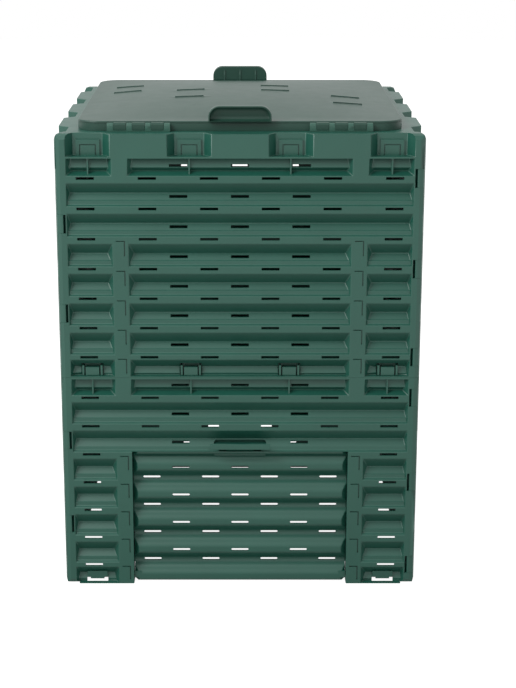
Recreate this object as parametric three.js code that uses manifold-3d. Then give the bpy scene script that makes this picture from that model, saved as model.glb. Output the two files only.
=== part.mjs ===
// A square garden compost bin of moulded plastic, in millimetres, +Z up, front towards -Y.
// Eight interlocking wall panels, a louvred hatch, a lid with grips, and snap hinges on the rim.

import * as THREE from "three";
import { ConvexGeometry } from "three/addons/geometries/ConvexGeometry.js";
import { mergeVertices } from "three/addons/utils/BufferGeometryUtils.js";
import Module from "manifold-3d";

const wasm = await Module();
wasm.setup();

// Body
const binWidth = 610;
const cornerRadius = 9;
const cornerFacets = 2;
const pinFacets = 8;
const wall = 3.5;
const cornerFlange = 4;
const seam = 0.4;
const fit = 0.3;
const overrun = 2;
const weldTolerance = 1e-4;

// Wall panels: rows of crests with troughs between them, heights counted from the row centres
const rowPitch = 51;
const rowCount = 7;
const firstRowDrop = 73;
const lastRowRise = 36;
const troughDepth = 14.5;
const cornerBand = 18.5;
const bandRun = 5;
const postInset = 106.5;
const postWidth = 26;
const postRun = 9;
const outlineRadius = 9;
const ledgeThickness = 2;
const ledgeDepth = 7.2;
const shelfDrop = 37;
const shelfThickness = 2.7;
const firstSplitTrough = 3;

// Ventilation slots
const slotsPerRow = 6;
const slotMargin = 50;
const slotLength = 30;
const slotHeight = 4.5;
const troughSlotDrop = 32;

// Rim: sockets in the top of each panel, and the flange that carries the lid
const socketCount = 4;
const socketMargin = 54.5;
const socketWidth = 73;
const socketBackWidth = 49;
const socketDepth = 18;
const flangeWidth = 52;
const flangeThickness = 3.3;

// Joints between panels: corner fingers, and lugs on the lower panels that stand in the upper
// panels' foot windows. At the ground the windows are low, with a pad over them.
const fingerHeight = 31;
const fingerReach = 13;
const fingerSlit = 4;
const windowWidth = 37;
const lugWindowHeight = 24;
const lowWindowHeight = 8;
const lugDepth = 8;
const tabWidth = 23;
const tabHeight = 17;
const barWidth = 3.5;
const barSpacing = 31;
const barHeight = 20;
const padWidth = 35;
const padBottom = 9.7;
const padTop = 20.5;
const padDepth = 7.5;
const padThickness = 5;
const tongueGap = 0.8;

// Hatch and its opening
const hatchTop = 244.5;
const hatchBottom = 4;
const hatchGap = 1;
const hatchDepth = 20;
const hatchRelief = 14.5;
const hatchRun = 10.5;
const hatchRowShift = 26;
const hatchRowCount = 4;
const hatchCrestSlots = 3;
const hatchValleySlots = 4;
const hatchValleyDrop = 23;
const hatchCornerChamfer = 7;
const jambThickness = 3.5;
const jambDepth = 27;
const stopWidth = 6;
const stopGap = 0.6;
const pinRadius = 3.2;
const pinHeight = 15;
const pinDepth = 11.5;
const pinGrip = 8;
const bossSize = 12;

// Pull on the hatch
const pullWidth = 104;
const pullThickness = 2.8;
const pullProjection = 11;
const pullBottom = 252;
const pullTop = 262;
const pullCupHeight = 6;
const pullCupReach = 3.5;
const pullNeckWidth = 12;
const pullNeckSpacing = 60;
const pullGap = 0.6;
const pullGrip = 3.5;
const pullBowSteps = 8;
const pullBowPower = 4;

// Lid
const lidInset = 35;
const lidCornerRadius = 38;
const lidCornerFacets = 4;
const lidHeight = 16;
const lidWall = 3;
const lidCrown = 15;
const lidRim = 12;
const crownSteps = 8;
const crownInnerSteps = 4;
const louvreLength = 50;
const louvreWidth = 4;
const louvreHeight = 2;

// Grips at the lid's front and rear edge
const gripWidth = 104;
const gripTopWidth = 76;
const gripHeight = 26;
const gripRadius = 12;
const gripDepth = 16;
const gripProjection = 10;
const gripWall = 3;
const gripRibWidth = 3;
const gripRibSpacing = 30;
const gripRibHeight = 1.6;

// Lid hinges
const hingeInset = 138;
const hingeWidth = 104;
const clawCount = 3;
const clawWidth = 20.6;
const clawPitch = 31;
const clawThickness = 2.6;
const clawDrop = 3.7;
const hingeBaseThickness = 2.2;
const hingeBaseDepth = 10.4;
const rodRadius = 2.4;
const rodHeight = 9.2;
const rodOffset = 5.5;
const rodClearance = 0.4;
const earRadius = 5.1;

// Outlines as shares: [height or drop as a share of the row pitch, depth as a share of the relief]
const troughOutlineShares = [[0.157, 0], [0.52, 1], [0.729, 0.4], [0.867, 0.29], [0.92, 0]];
const halfTroughOutlineShares = [[0.08, 0], [0.2, 1], [0.333, 0.55], [0.66, 0.9]];
const footOutlineShares = [[0.088, 0], [0.39, 1], [0.578, 0.62], [0.706, 0.7]];
const ridgeOutlineShares = [[0.48, 0], [0.343, 0.62], [0.265, 0.68], [0.137, 1], [-0.108, 1], [-0.382, 0]];
const halfRowSlotShare = 0.392;

// Places of the louvre marks on the lid, two to a group: shares of the lid's width, from its centre
const louvrePlaceShares = [
  [-0.379, 0.231],
  [-0.379, 0.088],
  [-0.165, 0.035],
  [-0.165, -0.121],
  [0.117, 0.135],
  [0.117, 0.006],
  [0.346, -0.062],
  [0.346, -0.2],
];

// Sizes worked out from the ones above
const half = binWidth / 2;
const lidWidth = binWidth - 2 * lidInset;
const panelHeight = firstRowDrop + rowPitch * (rowCount - 1) + lastRowRise;
const shelfTop = panelHeight - shelfDrop - fit;
const upperBase = panelHeight - shelfDrop;
const binHeight = upperBase + panelHeight;
const tongueDepth = troughDepth + wall + tongueGap;
const slotPitch = (binWidth - 2 * slotMargin) / (slotsPerRow - 1);
const socketPitch = (binWidth - 2 * socketMargin) / (socketCount - 1);
const postCentre = half - postInset;
const openingHalf = postCentre - postWidth / 2;
const firstRow = panelHeight - firstRowDrop;
const lastRow = firstRow - rowPitch * (rowCount - 1);
const hatchHalf = openingHalf - hatchGap;

const plasticGreen = { color: 0x35594f, roughness: 0.55, metalness: 0 };
const lidGreen = { color: 0x3d6157, roughness: 0.45, metalness: 0 };

// A closed three.js geometry as a solid
function solidOf(geometry) {
  const bare = geometry.clone();
  bare.deleteAttribute("normal");
  bare.deleteAttribute("uv");
  const merged = mergeVertices(bare, weldTolerance);
  return new wasm.Manifold(
    new wasm.Mesh({
      numProp: 3,
      vertProperties: new Float32Array(merged.attributes.position.array),
      triVerts: new Uint32Array(merged.index.array),
    }),
  );
}

// A solid as a three.js geometry
function geometryOf(solid) {
  const mesh = solid.getMesh();
  const geometry = new THREE.BufferGeometry();
  geometry.setAttribute("position", new THREE.BufferAttribute(mesh.vertProperties, mesh.numProp));
  geometry.setIndex(new THREE.BufferAttribute(mesh.triVerts, 1));
  geometry.computeVertexNormals();
  return geometry;
}

// The smallest convex solid around a list of [x, y, z] points
function hull(points) {
  return solidOf(new ConvexGeometry(points.map((point) => new THREE.Vector3(...point))));
}

// A box between two corners
function block(low, high) {
  const size = high.map((value, axis) => value - low[axis]);
  const geometry = new THREE.BoxGeometry(...size);
  geometry.translate(...low.map((value, axis) => value + size[axis] / 2));
  return solidOf(geometry);
}

// An outline of [x, y] points raised from one height to another
function planPrism(outline, bottom, top) {
  const shape = new THREE.Shape(outline.map(([x, y]) => new THREE.Vector2(x, y)));
  const geometry = new THREE.ExtrudeGeometry(shape, { depth: top - bottom, bevelEnabled: false });
  geometry.translate(0, 0, bottom);
  return solidOf(geometry);
}

// An outline of [y, z] points drawn out along X
function sidePrism(outline, left, right) {
  const shape = new THREE.Shape(outline.map(([y, z]) => new THREE.Vector2(y, z)));
  const geometry = new THREE.ExtrudeGeometry(shape, { depth: right - left, bevelEnabled: false });
  const toSide = new THREE.Matrix4().set(0, 0, 1, left, 1, 0, 0, 0, 0, 1, 0, 0, 0, 0, 0, 1);
  geometry.applyMatrix4(toSide);
  return solidOf(geometry);
}

// An outline of [x, z] points drawn out along Y
function frontPrism(outline, near, far) {
  const shape = new THREE.Shape(outline.map(([x, z]) => new THREE.Vector2(x, z)));
  const geometry = new THREE.ExtrudeGeometry(shape, { depth: far - near, bevelEnabled: false });
  const toFront = new THREE.Matrix4().set(1, 0, 0, 0, 0, 0, -1, far, 0, 1, 0, 0, 0, 0, 0, 1);
  geometry.applyMatrix4(toFront);
  return solidOf(geometry);
}

// Points of an arc, angles in quarter turns
function arc(centreX, centreY, radius, from, to, steps) {
  return Array.from({ length: steps + 1 }, (unused, step) => {
    const angle = (Math.PI / 2) * (from + ((to - from) * step) / steps);
    return [centreX + radius * Math.cos(angle), centreY + radius * Math.sin(angle)];
  });
}

function joined(solids) {
  return solids.reduce((sum, solid) => sum.add(solid));
}

// Evenly spaced places about the middle
function spread(count, pitch) {
  return Array.from({ length: count }, (unused, index) => (index - (count - 1) / 2) * pitch);
}

// A hollow with sloped ends, cut into a panel: outline points are [z, depth], the first and last past
// the face, and each end leans in by its run over the full relief. Sunk moves it all inwards.
function hollow(left, right, outline, leftRun, rightRun, sunk) {
  const widen = (run) => sunk * (Math.hypot(1, run / troughDepth) - run / troughDepth);
  const shape = new THREE.Shape(outline.map(([z, depth]) => new THREE.Vector2(depth, z)));
  const geometry = new THREE.ExtrudeGeometry(shape, { depth: right - left, bevelEnabled: false });
  const places = geometry.attributes.position;
  for (let index = 0; index < places.count; index += 1) {
    const depth = places.getX(index);
    const leftEnd = left - widen(leftRun) + (leftRun * depth) / troughDepth;
    const rightEnd = right + widen(rightRun) - (rightRun * depth) / troughDepth;
    const along = places.getZ(index) > 0 ? rightEnd : leftEnd;
    places.setXYZ(index, along, depth + sunk, places.getY(index));
  }
  return solidOf(geometry);
}

// The height and depth of outline shares, counted from a row centre, in a given direction
function outlineFrom(shares, rowCentre, direction, relief) {
  return shares.map(([rise, depth]) => [rowCentre + direction * rise * rowPitch, depth * relief]);
}

// Carries an outline's first and last points out past the face, along their slopes
function pastFace(outline) {
  const ends = [
    [outline[0], outline[1]],
    [outline.at(-1), outline.at(-2)],
  ].map(([edge, next]) => {
    const slope = (next[0] - edge[0]) / (next[1] - edge[1]);
    return [edge[0] - slope * overrun, edge[1] - overrun];
  });
  return [ends[0], ...outline, ends[1]];
}

// The three cells between the corner bands and the posts, with the runs of their ends
function cells(split) {
  const outer = half - cornerBand;
  const near = postCentre + postWidth / 2;
  if (!split) return [[-outer, outer, bandRun, bandRun]];
  return [
    [-outer, -near, bandRun, postRun],
    [-openingHalf, openingHalf, postRun, postRun],
    [near, outer, postRun, bandRun],
  ];
}

// A full trough below a row: the outer one has a stepped lower slope, the inner one is plain
function trough(cell, row, inner) {
  const points = outlineFrom(troughOutlineShares, row, -1, troughDepth);
  const outline = inner ? [points[0], points[1], points.at(-1)] : points;
  return hollow(...cell.slice(0, 2), pastFace(outline), ...cell.slice(2), inner ? wall : 0);
}

// The half trough under the shelf, with a low ridge along its middle
function halfTrough(cell, inner) {
  const [edge, bottom, ridge, last] = outlineFrom(halfTroughOutlineShares, firstRow, 1, troughDepth);
  const ceiling = shelfTop - shelfThickness;
  const outline = [pastFace([edge, bottom, edge])[0], edge, bottom];
  if (!inner) outline.push(ridge);
  outline.push([ceiling, last[1]], [ceiling, -overrun]);
  return hollow(...cell.slice(0, 2), outline, postRun, postRun, inner ? wall : 0);
}

// The hollow of the foot below the last row, down to a ledge along the bottom
function footHollow(cell, inner) {
  const [edge, bottom, ridge, last] = outlineFrom(footOutlineShares, lastRow, -1, troughDepth);
  const end = inner ? -overrun : ledgeThickness;
  const outline = [pastFace([edge, bottom, edge])[0], edge, bottom];
  if (!inner) outline.push(ridge);
  outline.push([end, last[1]], [end, -overrun]);
  return hollow(...cell.slice(0, 2), outline, ...cell.slice(2), inner ? wall : 0);
}

// A socket in the rim, open at the top and the face
function socket(centre, inner) {
  const sunk = inner ? wall : 0;
  const side = (socketWidth - socketBackWidth) / 2;
  const grow = inner ? wall * (Math.hypot(1, side / socketDepth) - side / socketDepth) : 0;
  const edge = socketWidth / 2 + grow;
  const lean = (side / socketDepth) * overrun;
  const back = socketBackWidth / 2 + grow;
  const outline = [
    [centre - edge - lean, sunk - overrun],
    [centre + edge + lean, sunk - overrun],
    [centre + back, socketDepth + sunk],
    [centre - back, socketDepth + sunk],
  ];
  return planPrism(outline, inner ? 0 : shelfTop, panelHeight + overrun).intersect(
    block(
      [-half, -2 * overrun, shelfTop - (inner ? shelfThickness : 0)],
      [half, half, panelHeight + overrun],
    ),
  );
}

// The plan of a panel between its two mitres, with rounded outer corners
function mitrePlan(inset, front, back) {
  const reach = half - inset;
  return [
    [-(reach - front), front],
    [reach - front, front],
    [reach - back, back],
    [-(reach - back), back],
  ];
}

function roundedPlan(back) {
  const centre = half - cornerRadius;
  return [
    ...arc(-centre, cornerRadius, cornerRadius, -2, -1, cornerFacets),
    ...arc(centre, cornerRadius, cornerRadius, -1, 0, cornerFacets),
    [half, back],
    [-half, back],
  ];
}

// Rounds a panel's outer corners, both along the wall and across its corner bands: at the foot of a
// lower panel and at the top of an upper one
function cornerCut(upper) {
  const level = (outline) => (upper ? outline.map(([across, z]) => [across, panelHeight - z]) : outline);
  const centre = half - outlineRadius;
  const along = [
    ...arc(-centre, outlineRadius, outlineRadius, 2, 3, cornerFacets),
    ...arc(centre, outlineRadius, outlineRadius, 3, 4, cornerFacets),
    [half, panelHeight],
    [-half, panelHeight],
  ];
  const across = [
    ...arc(outlineRadius, outlineRadius, outlineRadius, 2, 3, cornerFacets),
    [half, 0],
    [half, panelHeight],
    [0, panelHeight],
  ];
  const inner = half - cornerBand - bandRun;
  const middle = block([-inner, 0, 0], [inner, half, panelHeight]);
  return frontPrism(level(along), 0, half).intersect(sidePrism(level(across), -half, half).add(middle));
}

// The finger at a panel's end, which reaches round the corner onto its neighbour
function finger(row, side) {
  const outline = [
    ...arc(half - cornerRadius, cornerRadius, cornerRadius, -1, 0, cornerFacets),
    [half, fingerReach],
    [half - wall, fingerReach],
    [half - wall, wall],
    [half - cornerRadius, wall],
  ];
  const placed = side > 0 ? outline : outline.map(([x, y]) => [-x, y]).reverse();
  return planPrism(placed, row - fingerHeight / 2, row + fingerHeight / 2);
}

// The cut that takes a neighbour's finger, with the slit beyond its tip
function fingerNotch(row, side) {
  const tip = half - fingerReach - fingerSlit;
  const ends = [side * tip, side * (half + overrun)].sort((a, b) => a - b);
  const rise = fingerHeight / 2 + fit;
  return block([ends[0], -overrun, row - rise], [ends[1], wall + fit, row + rise]);
}

// The row heights at which a panel's ends have their own fingers, and their neighbour's
const rowHeight = (row) => firstRow - row * rowPitch;
const crestFingerRows = [0, 3, 6].map(rowHeight);
const troughFingerRows = [1.5, 4.5].map(rowHeight);

// A slot right through the sheet
function slot(x, z) {
  return block(
    [x - slotLength / 2, -overrun, z - slotHeight / 2],
    [x + slotLength / 2, half / 2, z + slotHeight / 2],
  );
}

// All slots of a panel, leaving out those that fall in the hatch opening
function panelSlots(withHatch) {
  const clear = (x, z) => !withHatch || z > hatchTop || Math.abs(x) > openingHalf;
  const places = [];
  for (let row = 0; row < rowCount; row += 1) {
    const z = rowHeight(row);
    spread(slotsPerRow, slotPitch).forEach((x) => places.push([x, z]));
    const between = row === 0 ? z + halfRowSlotShare * rowPitch : z + rowPitch - troughSlotDrop;
    spread(slotsPerRow / 2, slotPitch).forEach((x) => places.push([x, between]));
  }
  return joined(places.filter(([x, z]) => clear(x, z)).map(([x, z]) => slot(x, z)));
}

// Everything pressed into the face of a panel; the inner set is the same, one wall further in
function pressings(upper, inner) {
  const list = [];
  cells(!inner).forEach((cell) => list.push(halfTrough(cell, inner), footHollow(cell, inner)));
  for (let row = 0; row < rowCount - 1; row += 1) {
    const split = !inner && row + 1 >= firstSplitTrough;
    cells(split).forEach((cell) => list.push(trough(cell, rowHeight(row), inner)));
  }
  if (upper) spread(socketCount, socketPitch).forEach((x) => list.push(socket(x, inner)));
  return joined(list);
}

// Centres of the foot windows, under the rim's sockets
function windowCentres(withHatch) {
  const centres = spread(socketCount, socketPitch);
  return withHatch ? centres.filter((x) => Math.abs(x) > openingHalf) : centres;
}

// One wall panel, its face on Y = 0 and its foot on Z = 0
function wallPanel(upper, withHatch) {
  const inside = tongueDepth + wall;
  const mitred = (inset, front, back, bottom, top) =>
    planPrism(mitrePlan(inset, front, back), bottom, top);
  const faceTop = upper ? panelHeight : shelfTop;

  let outer = planPrism(roundedPlan(inside), 0, faceTop)
    .subtract(pressings(upper, false))
    .intersect(mitred(seam, -overrun, inside, -overrun, panelHeight + overrun));
  const inner = block([-half, wall, -overrun], [half, inside + overrun, faceTop + overrun])
    .subtract(pressings(upper, true))
    .intersect(mitred(seam + cornerFlange, 0, inside + overrun, -2 * overrun, panelHeight + 2 * overrun));
  let panel = outer.subtract(inner);

  // Shelf under the sockets
  const shelfDepth = upper ? socketDepth + wall : tongueDepth + wall;
  const shelf = planPrism(roundedPlan(shelfDepth), shelfTop - shelfThickness, shelfTop).intersect(
    mitred(seam, -overrun, shelfDepth, 0, panelHeight),
  );
  panel = panel.add(shelf).subtract(panelSlots(withHatch));

  // Rim flange on an upper panel, tongue with its lugs on a lower one
  if (upper) {
    const rim = mitred(seam, wall / 2, flangeWidth, panelHeight - flangeThickness, panelHeight);
    const openings = joined(spread(socketCount, socketPitch).map((x) => socket(x, false)));
    panel = panel.add(rim.subtract(openings));
  } else {
    const reach = tongueDepth + wall;
    const clear = seam + cornerFlange + 2 * fit;
    panel = panel.add(mitred(clear, tongueDepth, reach, shelfTop - shelfThickness, panelHeight));
    const lug = (middle, width, height) =>
      block(
        [middle - width / 2, lugDepth, shelfTop - shelfThickness / 2],
        [middle + width / 2, reach - wall / 2, shelfTop + height],
      );
    windowCentres(false).forEach((centre) => {
      const bars = spread(2, barSpacing).map((shift) => lug(centre + shift, barWidth, barHeight));
      panel = joined([panel, lug(centre, tabWidth, tabHeight), ...bars]);
    });
  }

  // Foot windows, cut behind the ledge
  windowCentres(withHatch).forEach((x) => {
    const height = upper ? lugWindowHeight : lowWindowHeight;
    panel = panel.subtract(
      block([x - windowWidth / 2, ledgeDepth, -overrun], [x + windowWidth / 2, half / 2, height]),
    );
    if (upper) return;
    const pad = block(
      [x - padWidth / 2, padDepth, padBottom],
      [x + padWidth / 2, padDepth + padThickness, padTop],
    );
    panel = panel.add(pad);
  });

  // Corner joints
  crestFingerRows.forEach((z) => {
    panel = panel.subtract(fingerNotch(z, 1)).add(finger(z, -1));
  });
  troughFingerRows.forEach((z) => {
    panel = panel.subtract(fingerNotch(z, -1)).add(finger(z, 1));
  });

  panel = panel.intersect(cornerCut(upper));

  if (withHatch) {
    const edge = openingHalf;
    const sweep = Math.hypot(hatchDepth + wall - pinDepth, pinHeight - hatchBottom);
    const stopBottom = pinHeight + sweep + stopGap;
    const stopFront = hatchDepth + wall + stopGap;
    const beside = (near, front, bottom) =>
      [-1, 1].map((side) => {
        const [left, right] = [side * near, side * (edge + jambThickness)].sort((a, b) => a - b);
        return block([left, front, bottom], [right, jambDepth, hatchTop]);
      });
    const opening = block([-edge, -overrun, -overrun], [edge, half / 2, hatchTop + fit]);
    panel = joined([panel, ...beside(edge, wall / 2, 0)]).subtract(opening);
    panel = joined([panel, ...beside(edge - stopWidth, stopFront, stopBottom)]);
    const hole = cylinderX(pinRadius + fit, -half + cornerBand, half - cornerBand, pinDepth, pinHeight);
    const span = edge + jambThickness + overrun;
    panel = panel.subtract(hole.intersect(block([-span, 0, 0], [span, half, hatchTop])));
    spread(2, pullNeckSpacing).forEach((x) => {
      const reach = pullNeckWidth / 2 + pullGap;
      const top = pullBottom + pullThickness + pullGap;
      panel = panel.subtract(block([x - reach, -overrun, hatchTop], [x + reach, half / 2, top]));
    });
  }
  return panel;
}

// A cylinder along X
function cylinderX(radius, left, right, y, z) {
  return sidePrism(arc(y, z, radius, 0, 4, pinFacets).slice(1), left, right);
}

// The hatch: a sheet with louvre ridges pressed outwards
function hatchPanel() {
  const slab = (sunk) =>
    block(
      [-hatchHalf, hatchDepth + sunk, hatchBottom],
      [hatchHalf, hatchDepth + sunk + (sunk ? hatchRelief : wall), hatchTop - hatchGap],
    );
  const ridge = (centre, sunk) => {
    const outline = outlineFrom(ridgeOutlineShares, centre, 1, hatchRelief);
    const [foot, crease, step, crestTop, crestBottom, end] = outline.map(([z, rise]) => [z, rise]);
    const shape = (points) =>
      hull(
        points.flatMap(([z, rise]) => {
          const lean = (hatchRun * rise) / hatchRelief;
          const reach = hatchHalf - lean - (sunk ? cornerFlange / 2 : 0);
          const y = hatchDepth - rise + sunk;
          return [
            [-reach, y, z],
            [reach, y, z],
          ];
        }),
      );
    return shape([foot, crease, step, end]).add(shape([step, crestTop, crestBottom, end]));
  };
  const bottomRow = lastRow + hatchRowShift;
  const rows = Array.from(
    { length: hatchRowCount + 1 },
    (unused, index) => bottomRow + (index - 1) * rowPitch,
  );
  const limits = block(
    [-hatchHalf, -half, hatchBottom],
    [hatchHalf, half, hatchTop - hatchGap],
  );
  const skin = (sunk) => joined([slab(sunk), ...rows.map((row) => ridge(row, sunk))]);
  let door = skin(0).intersect(limits).subtract(skin(wall));

  // Slots on the crests and in the valleys
  rows.slice(1).forEach((row) => {
    spread(hatchCrestSlots, slotPitch).forEach((x) => {
      door = door.subtract(slot(x, row));
    });
    spread(hatchValleySlots, slotPitch).forEach((x) => {
      door = door.subtract(slot(x, row - hatchValleyDrop));
    });
  });

  // Bosses for the pins, and chamfered bottom corners
  [-1, 1].forEach((side) => {
    const ends = [side * hatchHalf, side * (hatchHalf - bossSize)].sort((a, b) => a - b);
    door = door.add(
      block(
        [ends[0], pinDepth - bossSize / 2, pinHeight - bossSize / 2],
        [ends[1], pinDepth + bossSize / 2, pinHeight + bossSize / 2],
      ),
    );
    const chamfer = [
      [side * (hatchHalf + overrun), hatchBottom - overrun],
      [side * (hatchHalf + overrun), hatchBottom + hatchCornerChamfer / 2 + overrun],
      [side * (hatchHalf - hatchCornerChamfer), hatchBottom - overrun],
    ];
    door = door.subtract(frontPrism(side > 0 ? chamfer : chamfer.reverse(), -half, half));
    const bore = [side * (hatchHalf + overrun), side * (hatchHalf - pinGrip - fit)].sort((a, b) => a - b);
    door = door.subtract(cylinderX(pinRadius + fit, bore[0], bore[1], pinDepth, pinHeight));
  });
  return door;
}

// The pull: a lip with a cup behind it, on two necks that pass through notches in the wall's edge
function hatchPull() {
  const lipBack = pullThickness - pullProjection;
  const legBack = hatchDepth - fit;
  const legFront = legBack - pullThickness;
  const legBottom = hatchTop - hatchGap - pullGrip;
  const neckTop = pullBottom + pullThickness;
  const lip = block([-pullWidth / 2, -pullProjection, pullBottom], [pullWidth / 2, lipBack, pullTop]);
  const cupPlan = (inset) => {
    const reach = pullWidth / 2 - inset;
    const bow = Array.from({ length: pullBowSteps + 1 }, (unused, step) => {
      const share = 1 - (2 * step) / pullBowSteps;
      return [reach * share, lipBack + (pullCupReach - inset - lipBack) * (1 - share ** pullBowPower)];
    });
    return [[-reach, lipBack - pullThickness / 2], [reach, lipBack - pullThickness / 2], ...bow];
  };
  const cup = planPrism(cupPlan(0), pullBottom, pullBottom + pullCupHeight);
  const hollowed = planPrism(cupPlan(pullThickness), pullBottom + pullThickness, pullTop + overrun);
  const necks = spread(2, pullNeckSpacing).flatMap((x) => {
    const left = x - pullNeckWidth / 2;
    const right = x + pullNeckWidth / 2;
    return [
      block([left, 0, pullBottom], [right, legBack, neckTop]),
      block([left, legFront, legBottom], [right, legBack, neckTop]),
    ];
  });
  return joined([cup.subtract(hollowed), lip, ...necks]);
}

// A pin between the jamb and the hatch's boss, its middle at the origin of its own length
function hatchPin() {
  const length = pinGrip + hatchGap + jambThickness;
  return cylinderX(pinRadius, -length / 2, length / 2, 0, 0);
}

// The plan of the lid, drawn in by an inset
function lidPlan(inset) {
  const centre = lidWidth / 2 - lidCornerRadius;
  const radius = lidCornerRadius - inset;
  return [
    ...arc(-centre, -centre, radius, 2, 3, lidCornerFacets),
    ...arc(centre, -centre, radius, 3, 4, lidCornerFacets),
    ...arc(centre, centre, radius, 0, 1, lidCornerFacets),
    ...arc(-centre, centre, radius, 1, 2, lidCornerFacets),
  ];
}

// The height of the crowned top above the lid's rim
function crownRise(x, y) {
  const reach = lidWidth / 2 - lidRim;
  return lidCrown * (1 - (x / reach) ** 2) * (1 - (y / reach) ** 2);
}

// The crowned top: a grid of points over a flat base
function crownDome(inset, drop, steps) {
  const reach = lidWidth / 2 - lidRim;
  const size = 2 * (reach - inset);
  const base = lidHeight - drop - lidWall / 2;
  const geometry = new THREE.BoxGeometry(size, size, lidWall, steps, steps, 1);
  const places = geometry.attributes.position;
  for (let index = 0; index < places.count; index += 1) {
    const share = reach / (reach - inset);
    const rise = crownRise(places.getX(index) * share, places.getY(index) * share);
    places.setZ(index, places.getZ(index) > 0 ? lidHeight - drop + rise : base);
  }
  return solidOf(geometry);
}

// One hooded grip, standing on the front edge of the lid: a D outline hollowed from the front
function lidGrip() {
  const outline = (inset) => {
    const top = gripTopWidth / 2;
    const radius = gripRadius - inset;
    const rise = gripHeight - gripRadius;
    return [
      [-gripWidth / 2 + inset, inset ? gripWall : -lidWall / 2],
      [gripWidth / 2 - inset, inset ? gripWall : -lidWall / 2],
      ...arc(top, rise, radius, 0, 1, lidCornerFacets),
      ...arc(-top, rise, radius, 1, 2, lidCornerFacets),
    ];
  };
  const front = -lidWidth / 2 - gripProjection;
  const back = front + gripDepth;
  const ribs = spread(clawCount, gripRibSpacing).map((x) =>
    block(
      [x - gripRibWidth / 2, back - gripWall / 2, -lidWall / 2],
      [x + gripRibWidth / 2, back + gripRibHeight, gripHeight - gripWall - gripRibWidth],
    ),
  );
  const hood = frontPrism(outline(0), front, back);
  const recess = frontPrism(outline(gripWall), front - overrun, back - gripWall);
  const grip = joined([hood.subtract(recess), ...ribs]);
  const underside = block([-gripWidth, front - overrun, -lidWall], [gripWidth, -lidWidth / 2, 0]);
  return grip.subtract(underside).translate([0, 0, lidHeight]);
}

// The three claws that hook over one rod, and the rod's place, both counted from the rim
const rodY = -lidWidth / 2 - rodOffset;
const hingeX = half - hingeInset;

function claws(centre) {
  const shell = rodRadius + rodClearance + clawThickness;
  return spread(clawCount, clawPitch).map((shift) => {
    const left = centre + shift - clawWidth / 2;
    const right = centre + shift + clawWidth / 2;
    const channel = rodRadius + rodClearance;
    const low = rodHeight - clawDrop;
    const top = rodHeight + shell;
    const root = lidWall / 2 - lidWidth / 2;
    const outline = [
      [rodY - shell, low],
      [rodY - channel, low],
      [rodY - channel, rodHeight],
      ...arc(rodY, rodHeight, channel, 2, 0, pinFacets / 2).slice(1, -1),
      [rodY + channel, rodHeight],
      [rodY + channel, low],
      [root, low],
      [root, top],
      [rodY - shell / 2, top],
      [rodY - shell, rodHeight + shell / 2],
    ];
    return sidePrism(outline, left, right);
  });
}

// The lid, its rim underside on Z = 0
function lidShell() {
  const skin = planPrism(lidPlan(0), 0, lidHeight).add(crownDome(0, 0, crownSteps));
  const inside = planPrism(lidPlan(lidWall), -overrun, lidHeight - lidWall).add(
    crownDome(lidWall, lidWall, crownInnerSteps),
  );
  const louvres = louvrePlaceShares.map(([shareX, shareY]) => {
    const x = shareX * lidWidth;
    const y = shareY * lidWidth;
    const ends = [x - louvreLength / 2, x + louvreLength / 2];
    const corners = ends.flatMap((end) =>
      [-1, 1].flatMap((side) => {
        const across = y + (side * louvreWidth) / 2;
        const top = lidHeight + crownRise(end, across);
        return [
          [end, across, top - lidWall],
          [end, across, top + (side < 0 ? louvreHeight : 0)],
        ];
      }),
    );
    return hull(corners);
  });
  const fittings = [lidGrip(), ...claws(-hingeX), ...claws(hingeX)];
  const mirrored = fittings.map((piece) => piece.rotate([0, 0, 180]));
  return joined([skin, ...louvres]).subtract(inside).add(joined([...fittings, ...mirrored]));
}

// A hinge bracket: a strip on the rim with ears between and beside the claws
function hingeBracket(centre) {
  const front = rodY - hingeBaseDepth / 2;
  const strip = block(
    [centre - hingeWidth / 2, front, 0],
    [centre + hingeWidth / 2, front + hingeBaseDepth, hingeBaseThickness],
  );
  const gapStarts = spread(clawCount, clawPitch).map((shift) => centre + shift);
  const edges = [centre - hingeWidth / 2];
  gapStarts.forEach((middle) => edges.push(middle - clawWidth / 2 - fit, middle + clawWidth / 2 + fit));
  edges.push(centre + hingeWidth / 2);
  const ears = [];
  for (let index = 0; index < edges.length; index += 2) {
    const outline = [
      [rodY - earRadius, 0],
      [rodY + earRadius, 0],
      ...arc(rodY, rodHeight, earRadius, 0, 2, pinFacets / 2),
    ];
    ears.push(sidePrism(outline, edges[index], edges[index + 1]));
  }
  const bore = cylinderX(rodRadius + rodClearance, centre - hingeWidth, centre + hingeWidth, rodY, rodHeight);
  return joined([strip, ...ears]).subtract(bore);
}

function hingeRod(centre) {
  const reach = hingeWidth / 2 - rodClearance;
  return cylinderX(rodRadius, centre - reach, centre + reach, rodY, rodHeight);
}

const root = new THREE.Group();

function addMesh(parent, name, solid, look) {
  const mesh = new THREE.Mesh(geometryOf(solid), new THREE.MeshStandardMaterial(look));
  mesh.name = name;
  parent.add(mesh);
  return mesh;
}

const sides = ["front", "right", "back", "left"];
const upperPanel = wallPanel(true, false);
const lowerPanel = wallPanel(false, false);
const hatchWall = wallPanel(false, true);
sides.forEach((side, quarter) => {
  const turned = new THREE.Group();
  turned.rotation.z = (quarter * Math.PI) / 2;
  root.add(turned);
  const lower = addMesh(turned, `wall_lower_${side}`, quarter === 0 ? hatchWall : lowerPanel, plasticGreen);
  lower.position.set(0, -half, 0);
  const upper = addMesh(turned, `wall_upper_${side}`, upperPanel, plasticGreen);
  upper.position.set(0, -half, upperBase);
});

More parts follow.
